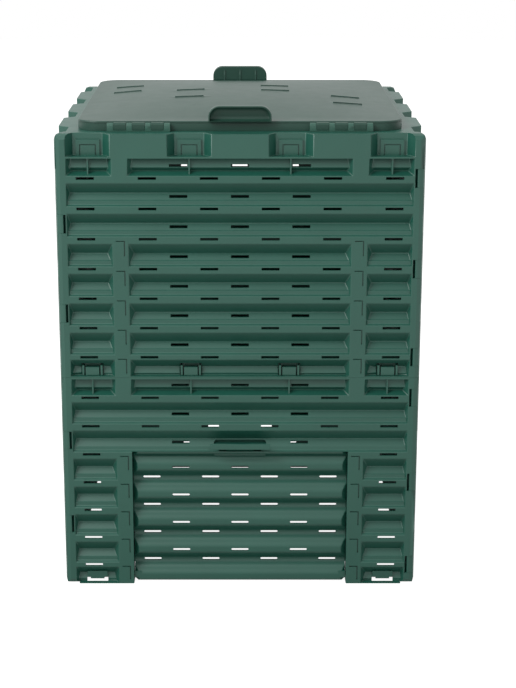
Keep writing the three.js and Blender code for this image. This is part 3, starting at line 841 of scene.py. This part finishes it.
class COMPOST_OT_upper_walls(bpy.types.Operator):
    """Finish the four upper wall panels with their sockets, gussets and tabs"""

    bl_idname = "compost.upper_walls"
    bl_label = "Upper Walls"

    def execute(self, context):
        model = dress_panel("wall_upper_front", "upper_panel")
        stand_round(model, "upper", ("front", "right", "back", "left"))
        return {"FINISHED"}


class COMPOST_OT_lower_walls(bpy.types.Operator):
    """Finish the four lower wall panels, the front one with its hatch opening"""

    bl_idname = "compost.lower_walls"
    bl_label = "Lower Walls"

    def execute(self, context):
        front = dress_panel("wall_lower_front", "lower_wall_front")
        add_pull_pocket(front)
        shade_flat_sheets(front)
        hand_over(front, "wall_lower_front", "bin", "wall_plastic")
        model = dress_panel("wall_lower_back", "lower_panel")
        stand_round(model, "lower", ("right", "back", "left"))
        return {"FINISHED"}


# Hatch


def folded_rise(height):
    """How far the ridges stand out at a height, as a share of the relief, with straight folds."""
    rise = 0.0
    for row in HATCH_ROWS:
        share = (height - row) / ROW_PITCH
        for (high, high_rise), (low, low_rise) in zip(RIDGE_FOLDS, RIDGE_FOLDS[1:]):
            if low <= share <= high:
                reached = (share - low) / (high - low)
                rise = max(rise, low_rise + (high_rise - low_rise) * reached)
    return rise


def smooth_rise(height):
    """The same share with its folds drawn smooth."""
    reach = shape().ridge_softness
    steps = [step / 4 for step in range(-4, 5)]
    return sum(folded_rise(height + step * reach) for step in steps) / len(steps)


def sheet_rise(height, inset):
    """How far the sheet stands out at a height, and at a distance in from its nearer end."""
    below_strip = max(0.0, hatch_high.z - height - HATCH_STRIP)
    strip_rise = 1 - below_strip / HATCH_RUN
    end_rise = END_RISE + (1 - END_RISE) * inset / HATCH_RUN
    return min(max(smooth_rise(height), strip_rise), end_rise)


def hatch_sheet():
    """The pressed sheet: a fine grid with the ridges' relief, under a strip at crest level."""
    half = hatch_high.x
    columns = 2 * END_COLUMNS + 2
    bpy.ops.object.select_all(action="DESELECT")
    bpy.ops.mesh.primitive_grid_add(x_subdivisions=columns, y_subdivisions=SHEET_ROWS, size=2)
    sheet = bpy.context.object
    for vertex in sheet.data.vertices:
        column = round((vertex.co.x + 1) / 2 * columns)
        from_end = min(column, columns - column)
        inset = half if from_end > END_COLUMNS else from_end * END_WIDTH / END_COLUMNS
        side = 1 if vertex.co.x > 0 else -1
        height = hatch_low.z + (vertex.co.y + 1) / 2 * (hatch_high.z - hatch_low.z)
        depth = HATCH_DEPTH - HATCH_RELIEF * sheet_rise(height, inset)
        vertex.co = (side * (half - inset), FRONT + depth, height)
    thicken(sheet, (0, HATCH_WALL, 0))
    edit(sheet, bpy.ops.mesh.normals_make_consistent, inside=False)
    return sheet


def hatch_slots():
    """The slots on the crests and in the valleys, their ends rounded."""
    crest_slots = [(shift, 0.0) for shift in (-1, 0, 1)]
    valley_slots = [(shift, HATCH_VALLEY_DROP) for shift in (-1.5, -0.5, 0.5, 1.5)]
    behind = FRONT + 2 * HATCH_DEPTH
    half, rise = HATCH_SLOT_LENGTH / 2, SLOT_HEIGHT / 2
    slots = []
    for row in HATCH_ROWS[1:]:
        for shift, drop in crest_slots + valley_slots:
            x, z = shift * HATCH_SLOT_PITCH, row - drop
            slots.append(add_block((x - half, FRONT, z - rise), (x + half, behind, z + rise)))
    slots = joined(slots)

    def end_edge(start, end, angle):
        return runs_along(start, end, "y")

    round_edges(slots, end_edge, shape().hatch_slot_radius, segments=4)
    return slots


def pull_seat():
    """The strip behind the upper edge that the pull's necks stand against, and its foot."""
    back = FRONT + HATCH_DEPTH
    foot_low = (-SEAT_REACH, FRONT + SEAT_FRONT, SEAT_LOW)
    foot = add_block(foot_low, (SEAT_REACH, back + OVERLAP, SEAT_LOW + 2 * OVERLAP))
    strip_low = (-SEAT_REACH, back, SEAT_LOW + OVERLAP)
    strip = add_block(strip_low, (SEAT_REACH, back + HATCH_WALL, hatch_high.z))
    return joined([foot, strip])


def hatch_ends():
    """The bosses for the pins, their bores, and the turned blocks that cut the lower corners."""
    bosses, bores, corners = [], [], []
    reach = BOSS_SIZE / 2
    pin_y = FRONT + PIN_DEPTH
    for side in (-1, 1):
        outer = side * hatch_high.x
        left, right = sorted((outer, outer - side * BOSS_SIZE))
        boss_low = (left, pin_y - reach, PIN_HEIGHT - reach)
        bosses.append(add_block(boss_low, (right, pin_y + reach, PIN_HEIGHT + reach)))
        bpy.ops.object.select_all(action="DESELECT")
        bpy.ops.mesh.primitive_cylinder_add(
            vertices=32,
            radius=PIN_RADIUS,
            depth=2 * BORE_LENGTH,
            location=(outer, pin_y, PIN_HEIGHT),
            rotation=(0, math.radians(90), 0),
        )
        bores.append(settled())
        corner_low = Vector((-HATCH_CHAMFER, FRONT, -HATCH_CHAMFER / 2))
        corner_size = Vector((2 * HATCH_CHAMFER, 2 * HATCH_DEPTH, HATCH_CHAMFER))
        corner = add_block(corner_low, corner_low + corner_size)
        slope = Matrix.Rotation(math.atan2(side, HATCH_CHAMFER_RUN), 4, "Y").inverted()
        foot = Matrix.Translation((outer, 0, hatch_low.z - OVERLAP))
        corner.data.transform(foot @ slope)
        corners.append(corner)
    return joined(bosses), joined(bores), joined(corners)


def round_pull(piece):
    """Rounds the front lip of the pull and the rim of its cup."""

    def lip(start, end, angle):
        outside = max(start.y, end.y) < FRONT - PULL_PLAIN_REACH
        return outside and is_sharp(start, end, angle, SHORTEST_PULL_EDGE)

    round_edges(piece, lip, PULL_RADIUS, segments=3)


class COMPOST_OT_hatch(bpy.types.Operator):
    """Finish the hatch, its pull and its two pins"""

    bl_idname = "compost.hatch"
    bl_label = "Hatch"

    def execute(self, context):
        door = hatch_sheet()
        door.name = "hatch_door"
        combine(door, pull_seat(), "UNION")
        bosses, bores, corners = hatch_ends()
        combine(door, bosses, "UNION")
        combine(door, bores, "DIFFERENCE")
        combine(door, corners, "DIFFERENCE")
        combine(door, hatch_slots(), "DIFFERENCE")
        shade(door, angle=40)
        hand_over(door, "hatch", "hatch", "wall_plastic")
        pull = copy_of("hatch_pull", "hatch_pull_lip")
        make_faces_whole(pull)
        round_pull(pull)
        shade(pull)
        hand_over(pull, "hatch_pull", "hatch", "wall_plastic")
        for side in ("left", "right"):
            node = f"hatch_pin_{side}"
            pin = copy_of(node, f"hatch_pivot_{side}")
            shade(pin, angle=50)
            hand_over(pin, node, "hatch", "hinge_plastic")
        return {"FINISHED"}


# Lid


def lid_plate(inset, low, high):
    """A plate in the lid's plan, drawn in by an inset, with rounded corners."""
    reach = LID_WIDTH / 2 - inset
    left_front = (MIDDLE.x - reach, MIDDLE.y - reach, low)
    plate = add_block(left_front, (MIDDLE.x + reach, MIDDLE.y + reach, high))

    def corner(start, end, angle):
        return runs_along(start, end, "z")

    round_edges(plate, corner, LID_CORNER - inset, segments=12)
    return plate


def crown_rise(x, y, reach):
    """How far a crown of a given reach rises at a place counted from the lid's middle."""
    return LID_CROWN * (1 - (x / reach) ** 2) * (1 - (y / reach) ** 2)


def lid_dome(inset, low, high):
    """The crowned top: a fine grid lifted to the crown's height, with its sides drawn down."""
    reach = LID_WIDTH / 2 - LID_RIM - inset
    bpy.ops.object.select_all(action="DESELECT")
    bpy.ops.mesh.primitive_grid_add(
        x_subdivisions=CROWN_STEPS,
        y_subdivisions=CROWN_STEPS,
        size=2 * reach,
        location=(MIDDLE.x, MIDDLE.y, high),
    )
    dome = settled()
    thicken(dome, (0, 0, low - high))
    for vertex in dome.data.vertices:
        if vertex.co.z > (low + high) / 2:
            place = vertex.co - MIDDLE
            vertex.co.z += crown_rise(place.x, place.y, reach)
    edit(dome, bpy.ops.mesh.normals_make_consistent, inside=False)
    return dome


def louvres():
    """The hooded slits in the lid: low wedges, each with a slit in its front."""
    hoods, slits = [], []
    reach = LID_WIDTH / 2 - LID_RIM
    half = LOUVRE_LENGTH / 2
    above = LID_TOP + OVERLAP
    middle = LID_TOP + OVERLAP / 2
    for share_x, share_y in LOUVRE_SHARES:
        x, y = share_x * LID_WIDTH, share_y * LID_WIDTH
        hood = add_block((x - half, y, LID_TOP), (x + half, y + LOUVRE_WIDTH, above))
        for vertex in hood.data.vertices:
            surface = LID_TOP + crown_rise(vertex.co.x, vertex.co.y, reach)
            top = LOUVRE_HEIGHT if vertex.co.y < y + LOUVRE_WIDTH / 2 else LOUVRE_FADE
            vertex.co.z = surface + (top if vertex.co.z > middle else -LID_WALL / 2)
        slit_back = y + LOUVRE_SLIT_SHARE * LOUVRE_WIDTH
        slit = add_block(
            (x - half + OVERLAP, y - OVERLAP, LID_TOP), (x + half - OVERLAP, slit_back, above)
        )
        for vertex in slit.data.vertices:
            surface = LID_TOP + crown_rise(vertex.co.x, y, reach)
            vertex.co.z = surface + (LOUVRE_SLIT if vertex.co.z > middle else LOUVRE_FADE)
        hoods.append(hood)
        slits.append(slit)
    pieces = joined(hoods), joined(slits)
    for piece in pieces:
        piece.data.transform(Matrix.Translation(MIDDLE))
    return pieces


def grip_hollow(front, back, top):
    """The finger hollow of a grip, from in front of it to the hollow's own back and top."""
    half = GRIP_WIDTH / 2 - GRIP_WALL
    mouth = (-half, front - 3 * OVERLAP, LID_TOP + GRIP_FLOOR)
    hollow = arched_block(mouth, (half, back, top), GRIP_CORNER - GRIP_WALL)

    def inner(start, end, angle):
        return near(start.y, back) and near(end.y, back) and angle > SHARP_ANGLE

    round_edges(hollow, inner, GRIP_HOLLOW_RADIUS, segments=5)
    for vertex in hollow.data.vertices:
        share = (vertex.co.y - front) / (back - front)
        vertex.co.y -= GRIP_LEAN * max(0.0, share) * (vertex.co.z - LID_TOP)
    return hollow


def lid_grip():
    """One hooded finger grip on the lid's front edge, with ribs on its back."""
    front = MIDDLE.y - LID_WIDTH / 2 - GRIP_PROJECTION
    back = front + GRIP_DEPTH
    top = LID_TOP + GRIP_HEIGHT
    half = GRIP_WIDTH / 2
    grip = arched_block((-half, front, LID_TOP), (half, back, top), GRIP_CORNER)

    def sharp(start, end, angle):
        return is_sharp(start, end, angle, SHORTEST_GRIP_EDGE)

    round_edges(grip, sharp, GRIP_EDGE_RADIUS, segments=3)
    reach = GRIP_RIB_WIDTH / 2
    rib_back, rib_top = back + GRIP_RIB_HEIGHT, top - LID_WALL - GRIP_RIB_WIDTH
    ribs = [
        add_block((x - reach, back - OVERLAP, LID_TOP), (x + reach, rib_back, rib_top))
        for x in (-GRIP_RIB_SPACING, 0.0, GRIP_RIB_SPACING)
    ]
    combine(grip, joined(ribs), "UNION")
    combine(grip, grip_hollow(front, back - GRIP_WALL, top - GRIP_WALL), "DIFFERENCE")
    neck_low = (-half + NECK_SIDE, front + GRIP_PROJECTION + NECK_FRONT, LID_TOP - LID_WALL / 2)
    neck = add_block(neck_low, (half - NECK_SIDE, back - NECK_BACK, LID_TOP + NECK_HEIGHT))
    combine(grip, neck, "UNION")
    return grip


def claws():
    """The claws at both ends of the lid, cut from its solid, with lips on the front ones."""
    piece = copy_of("lid", "claw_source")
    bracket_low, bracket_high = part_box("hinge_bracket_front_right")
    centre = (bracket_low.x + bracket_high.x) / 2
    half = (bracket_high.x - bracket_low.x) / 2
    skirt = MIDDLE.y - LID_WIDTH / 2
    low, high = LID_BASE - CLAW_ZONE_DROP, LID_TOP - CLAW_ZONE_TOP
    zones = []
    for x in (-centre, centre):
        zone_low = (x - half, skirt - CLAW_ZONE_FRONT, low)
        zones.append(add_block(zone_low, (x + half, skirt + LID_WALL / 2, high)))
    zones = joined(zones)
    rear_zones = duplicate(zones, "rear_zones")
    turn(rear_zones, 2)
    combine(piece, joined([zones, rear_zones]), "INTERSECT")
    make_faces_whole(piece)
    front = min(vertex.co.y for vertex in piece.data.vertices)
    reach = CLAW_WIDTH / 2
    lip_low, lip_high = bracket_low.z + CLAW_LIP_RISE, LID_BASE + CLAW_LIP_TOP
    places = [x + step * CLAW_PITCH for x in (-centre, centre) for step in (-1, 0, 1)]
    lips = [
        add_block((x - reach, front, lip_low), (x + reach, front + CLAW_WALL, lip_high))
        for x in places
    ]
    combine(piece, joined(lips), "UNION")
    make_faces_whole(piece)

    def outer(start, end, angle):
        beyond = max(start.y, end.y) < skirt - CLAW_PLAIN_REACH
        return beyond and is_sharp(start, end, angle, SHORTEST_CLAW_EDGE)

    round_edges(piece, outer, HINGE_RADIUS, segments=2)
    return piece


def lid_cover():
    """The rounded plate with its crowned top, hollow below, and the groove round its edge."""
    radius = shape().lid_radius
    cover = lid_plate(0, LID_BASE, LID_TOP)
    cover.name = "lid_cover"

    def upper(start, end, angle):
        return near(start.z, LID_TOP) and near(end.z, LID_TOP)

    round_edges(cover, upper, radius, segments=4)
    combine(cover, lid_dome(0, LID_TOP - LID_WALL / 2, LID_TOP), "UNION")
    hollow_top = LID_TOP - LID_WALL
    hollow = lid_plate(LID_WALL, LID_BASE - OVERLAP, hollow_top)
    combine(hollow, lid_dome(LID_WALL, hollow_top - LID_WALL / 2, hollow_top), "UNION")
    combine(cover, hollow, "DIFFERENCE")
    groove_top = LID_TOP - radius - LID_GROOVE_DEPTH / 4
    groove = lid_plate(-2 * OVERLAP, groove_top - LID_GROOVE_HEIGHT, groove_top)
    core = lid_plate(LID_GROOVE_DEPTH, LID_BASE - OVERLAP, LID_TOP + OVERLAP)
    combine(groove, core, "DIFFERENCE")
    combine(cover, groove, "DIFFERENCE")
    return cover


class COMPOST_OT_lid(bpy.types.Operator):
    """Finish the lid with its grips, claws and ventilation louvres"""

    bl_idname = "compost.lid"
    bl_label = "Lid"

    def execute(self, context):
        cover = lid_cover()
        hoods, slits = louvres()
        combine(cover, hoods, "UNION")
        combine(cover, slits, "DIFFERENCE")
        grip = lid_grip()
        rear_grip = duplicate(grip, "rear_grip")
        turn(rear_grip, 2)
        combine(cover, grip, "UNION")
        combine(cover, rear_grip, "UNION")
        combine(cover, claws(), "UNION")
        edit(cover, bpy.ops.mesh.remove_doubles, threshold=WELD)
        shade(cover, angle=35)
        hand_over(cover, "lid", "lid", "lid_plastic")
        return {"FINISHED"}


# Hinges


def round_ears(piece):
    """Rounds the upright edges and the tops of a bracket's ears."""
    strip_top = min(vertex.co.z for vertex in piece.data.vertices) + BRACKET_STRIP + OVERLAP

    def ear_edge(start, end, angle):
        return min(start.z, end.z) > strip_top and angle > STEEP_ANGLE

    round_edges(piece, ear_edge, HINGE_RADIUS, segments=2)


class COMPOST_OT_hinges(bpy.types.Operator):
    """Finish the brackets on the rim and the rods that the lid's claws hold"""

    bl_idname = "compost.hinges"
    bl_label = "Hinges"

    def execute(self, context):
        for end in ("front", "rear"):
            for side in ("left", "right"):
                for part in ("bracket", "rod"):
                    node = f"hinge_{part}_{end}_{side}"
                    piece = copy_of(node, f"rim_{part}_{end}_{side}")
                    make_faces_whole(piece)
                    if part == "bracket":
                        round_ears(piece)
                    shade(piece, angle=50)
                    hand_over(piece, node, "bin", "hinge_plastic")
        return {"FINISHED"}


# Stage


def highest(tree, value, *others):
    """The highest of several values."""
    for other in others:
        value = add_node(
            tree,
            "ShaderNodeMath",
            settings={"operation": "MAXIMUM"},
            links={0: value, 1: other},
        ).outputs["Value"]
    return value


def add_floor(colour):
    """Painted studio floor: matt where light falls on it, and white where the camera looks."""
    bpy.ops.object.select_all(action="DESELECT")
    bpy.ops.mesh.primitive_circle_add(vertices=96, radius=FLOOR_RADIUS, fill_type="NGON")
    floor = bpy.context.object
    floor.name = "studio_floor"
    paint = bpy.data.materials.new("matt white emulsion")
    paint.use_nodes = True
    tree = paint.node_tree
    tree.nodes.clear()
    matt = add_node(tree, "ShaderNodeBsdfDiffuse", inputs={"Color": linear(colour)})
    place = add_node(tree, "ShaderNodeTexCoord").outputs["Object"]
    away = add_node(
        tree, "ShaderNodeVectorMath", settings={"operation": "LENGTH"}, links={0: place}
    )
    # In reflections the floor's glow fades near the bin: painted shade
    clear = add_node(
        tree,
        "ShaderNodeMapRange",
        inputs={"From Min": GLOSS_NEAR, "From Max": GLOSS_FAR, "To Min": GLOSS_NEAR_SHARE},
        links={"Value": away.outputs["Value"]},
    )
    ray = add_node(tree, "ShaderNodeLightPath").outputs
    gloss = add_node(
        tree,
        "ShaderNodeMath",
        settings={"operation": "MULTIPLY"},
        links={0: clear.outputs["Result"], 1: ray["Is Glossy Ray"]},
    )
    direct = highest(tree, ray["Is Camera Ray"], ray["Is Transmission Ray"])
    share = highest(tree, gloss.outputs["Value"], direct)
    glow = add_node(
        tree, "ShaderNodeEmission", inputs={"Color": (1, 1, 1, 1), "Strength": FLOOR_GLOW}
    )
    white = add_node(
        tree,
        "ShaderNodeAddShader",
        links={0: matt.outputs["BSDF"], 1: glow.outputs["Emission"]},
    )
    seen = add_node(
        tree,
        "ShaderNodeMixShader",
        links={"Fac": share, 1: matt.outputs["BSDF"], 2: white.outputs["Shader"]},
    )
    add_node(tree, "ShaderNodeOutputMaterial", links={"Surface": seen.outputs["Shader"]})
    floor.data.materials.append(paint)


def add_surround(strength):
    """Even light from all round, and white where the camera and reflections look."""
    world = bpy.data.worlds.new("studio_surround")
    bpy.context.scene.world = world
    world.use_nodes = True
    tree = world.node_tree
    tree.nodes.clear()
    light, white = (
        add_node(tree, "ShaderNodeBackground", inputs={"Color": (1, 1, 1, 1), "Strength": level})
        for level in (strength, 1.0)
    )
    ray = add_node(tree, "ShaderNodeLightPath").outputs
    share = highest(tree, ray["Is Camera Ray"], ray["Is Glossy Ray"], ray["Is Transmission Ray"])
    mixed = add_node(
        tree,
        "ShaderNodeMixShader",
        links={"Fac": share, 1: light.outputs["Background"], 2: white.outputs["Background"]},
    )
    add_node(tree, "ShaderNodeOutputWorld", links={"Surface": mixed.outputs["Shader"]})


def add_key_light(power):
    """Soft light from the upper left."""
    lamp = bpy.data.lights.new("key_softbox", "AREA")
    lamp.shape = "SQUARE"
    lamp.size = KEY_SIZE
    lamp.energy = power
    key = bpy.data.objects.new("key_softbox", lamp)
    bpy.context.scene.collection.objects.link(key)
    key.location = KEY_PLACE
    aim = Vector(KEY_AIM) - key.location
    key.rotation_euler = aim.to_track_quat("-Z", "Y").to_euler()


def add_camera(studio):
    """The camera at the photograph's place."""
    lens = bpy.data.cameras.new("studio_camera")
    camera = bpy.data.objects.new("studio_camera", lens)
    bpy.context.scene.collection.objects.link(camera)
    lens.lens = studio.lens
    lens.shift_x = studio.camera_shift
    camera.location = (0.0, FRONT - studio.camera_distance, studio.camera_height)
    camera.rotation_euler = (math.radians(90) - studio.camera_pitch, 0.0, 0.0)
    bpy.context.scene.camera = camera


class COMPOST_OT_stage(bpy.types.Operator):
    """Set up the pale floor, the soft studio light and the camera"""

    bl_idname = "compost.stage"
    bl_label = "Stage"

    def execute(self, context):
        studio = context.scene.bin_studio
        context.scene.view_settings.view_transform = "Standard"
        add_floor(studio.floor_colour)
        add_surround(studio.world_strength)
        add_key_light(studio.key_power)
        add_camera(studio)
        return {"FINISHED"}


OPERATORS = (
    COMPOST_OT_stage,
    COMPOST_OT_upper_walls,
    COMPOST_OT_lower_walls,
    COMPOST_OT_hatch,
    COMPOST_OT_lid,
    COMPOST_OT_hinges,
)


class COMPOST_PT_panel(bpy.types.Panel):
    """The steps that finish the compost bin"""

    bl_idname = "COMPOST_PT_panel"
    bl_label = "Compost Bin"
    bl_space_type = "VIEW_3D"
    bl_region_type = "UI"
    bl_category = "Compost Bin"

    def draw(self, context):
        for operator in OPERATORS:
            self.layout.operator(operator.bl_idname)


CLASSES = (BinShape, BinFinish, BinStudio, *OPERATORS, COMPOST_PT_panel)
GROUPS = {"bin_shape": BinShape, "bin_finish": BinFinish, "bin_studio": BinStudio}


def register():
    for entry in CLASSES:
        bpy.utils.register_class(entry)
    for name, group in GROUPS.items():
        setattr(bpy.types.Scene, name, bpy.props.PointerProperty(type=group))


def unregister():
    for name in GROUPS:
        delattr(bpy.types.Scene, name)
    for entry in reversed(CLASSES):
        bpy.utils.unregister_class(entry)


def main():
    """Runs every step in order."""
    register()
    bpy.ops.compost.stage()
    bpy.ops.compost.upper_walls()
    bpy.ops.compost.lower_walls()
    bpy.ops.compost.hatch()
    bpy.ops.compost.lid()
    bpy.ops.compost.hinges()


if __name__ == "__main__":
    main()
